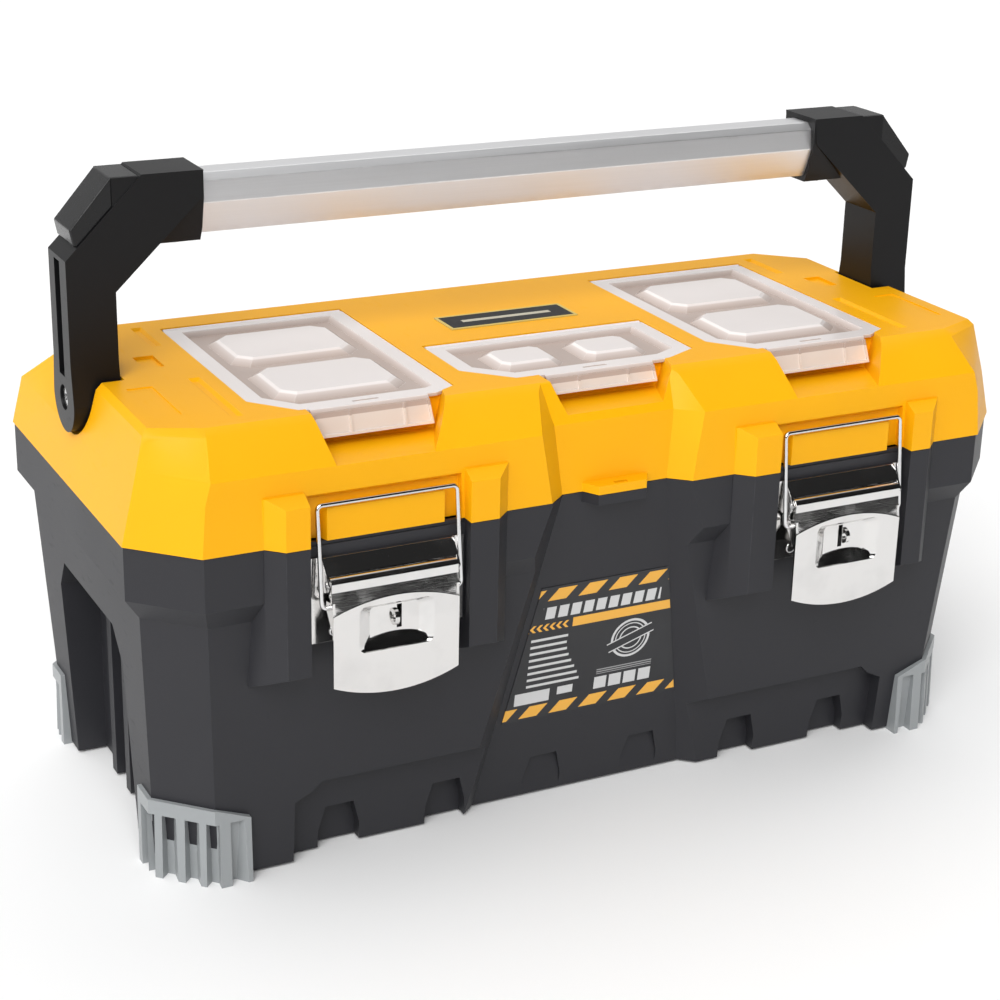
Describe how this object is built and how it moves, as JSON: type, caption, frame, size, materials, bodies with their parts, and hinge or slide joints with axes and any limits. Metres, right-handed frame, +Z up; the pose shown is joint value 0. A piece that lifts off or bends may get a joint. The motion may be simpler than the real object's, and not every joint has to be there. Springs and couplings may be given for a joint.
{
  "type": "toolbox with tray",
  "caption": "Long moulded toolbox with a hinged lid, organizers under clear covers, metal over-centre latches, lift-out tray and a faceted carry bar.",
  "frame": {"origin": "on the floor, in the middle of the whole box seen from above", "axes": "+X along the box, +Y towards the rear hinges, +Z up; the latches face -Y"},
  "size_m": [0.66, 0.3691, 0.4445],
  "materials": {
    "box_plastic": "fine moulded grain, charcoal",
    "foot_plastic": "satin grey",
    "lid_plastic": "fine moulded grain, signal yellow",
    "tray_plastic": "fine moulded grain, charcoal",
    "bin_plastic": "plain grey",
    "cover_plastic": "milky translucent",
    "label_film": "printed film",
    "badge_film": "printed film",
    "bar_aluminium": "satin anodised",
    "arm_plastic": "fine moulded grain, black",
    "cap_plastic": "smooth black",
    "latch_steel": "bright stainless sheet",
    "pin_steel": "bright drawn wire"
  },
  "bodies": {
    "box": {"lower_box": "box_plastic", "corner_foot_front_left": "foot_plastic", "corner_foot_front_right": "foot_plastic", "corner_foot_rear_left": "foot_plastic", "corner_foot_rear_right": "foot_plastic", "front_label": "label_film", "latch_bed_left": "box_plastic", "latch_bed_right": "box_plastic", "lid_hinge_pin_left": "pin_steel", "lid_hinge_pin_right": "pin_steel", "latch_plate_left": "latch_steel", "latch_plate_right": "latch_steel", "latch_rivets_left": "pin_steel", "latch_rivets_right": "pin_steel", "latch_pin_left": "pin_steel", "latch_pin_right": "pin_steel"},
    "lid": {"lid": "lid_plastic", "organizer_bin_left": "bin_plastic", "organizer_bin_right": "bin_plastic", "organizer_bin_center": "bin_plastic", "lid_badge": "badge_film", "organizer_pin_left": "pin_steel", "organizer_pin_right": "pin_steel", "organizer_pin_center": "pin_steel", "handle_pivot_left": "pin_steel", "handle_pivot_right": "pin_steel"},
    "handle": {"handle_bar": "bar_aluminium", "handle_arm_left": "arm_plastic", "handle_arm_right": "arm_plastic", "handle_cap_left": "cap_plastic", "handle_cap_right": "cap_plastic", "handle_screw_left": "pin_steel", "handle_screw_right": "pin_steel"},
    "tray": {"tray": "tray_plastic"},
    "organizer_cover_left": {"organizer_cover_left": "cover_plastic"},
    "organizer_cover_right": {"organizer_cover_right": "cover_plastic"},
    "organizer_cover_center": {"organizer_cover_center": "cover_plastic"},
    "latch_lever_left": {"latch_lever_left": "latch_steel"},
    "latch_bail_left": {"latch_bail_left": "pin_steel"},
    "latch_lever_right": {"latch_lever_right": "latch_steel"},
    "latch_bail_right": {"latch_bail_right": "pin_steel"}
  },
  "joints": [
    {"name": "lid_hinge", "type": "hinge", "parent": "box", "child": "lid", "pos_m": [0, 0.176, 0.241], "axis": [-1, 0, 0], "range_deg": [0, 95]},
    {"name": "handle_pivot", "type": "hinge", "parent": "lid", "child": "handle", "pos_m": [0, 0, 0.298], "axis": [-1, 0, 0], "range_deg": [-10, 10]},
    {"name": "tray_lift", "type": "slide", "parent": "box", "child": "tray", "axis": [0, 0, 1], "range_m": [0, 0.17]},
    {"name": "organizer_cover_left_hinge", "type": "hinge", "parent": "lid", "child": "organizer_cover_left", "pos_m": [-0.169, 0.0723, 0.3111], "axis": [-1, 0, 0], "range_deg": [0, 40]},
    {"name": "organizer_cover_right_hinge", "type": "hinge", "parent": "lid", "child": "organizer_cover_right", "pos_m": [0.169, 0.0723, 0.3111], "axis": [-1, 0, 0], "range_deg": [0, 40]},
    {"name": "organizer_cover_center_hinge", "type": "hinge", "parent": "lid", "child": "organizer_cover_center", "pos_m": [0, -0.0337, 0.3111], "axis": [-1, 0, 0], "range_deg": [0, 95]},
    {"name": "latch_lever_left_pivot", "type": "hinge", "parent": "box", "child": "latch_lever_left", "pos_m": [-0.171, -0.177, 0.216], "axis": [-1, 0, 0], "range_deg": [0, 118]},
    {"name": "latch_bail_left_pivot", "type": "hinge", "parent": "latch_lever_left", "child": "latch_bail_left", "pos_m": [-0.171, -0.1764, 0.2], "axis": [-1, 0, 0], "range_deg": [-118, 0]},
    {"name": "latch_lever_right_pivot", "type": "hinge", "parent": "box", "child": "latch_lever_right", "pos_m": [0.171, -0.177, 0.216], "axis": [-1, 0, 0], "range_deg": [0, 118]},
    {"name": "latch_bail_right_pivot", "type": "hinge", "parent": "latch_lever_right", "child": "latch_bail_right", "pos_m": [0.171, -0.1764, 0.2], "axis": [-1, 0, 0], "range_deg": [-118, 0]}
  ],
  "couplings": [
    {"joint": "tray_lift", "follows": "lid_hinge", "m_per_rad": 0.1},
    {"joint": "latch_bail_left_pivot", "follows": "latch_lever_left_pivot", "ratio": -1},
    {"joint": "latch_bail_right_pivot", "follows": "latch_lever_right_pivot", "ratio": -1}
  ]
}
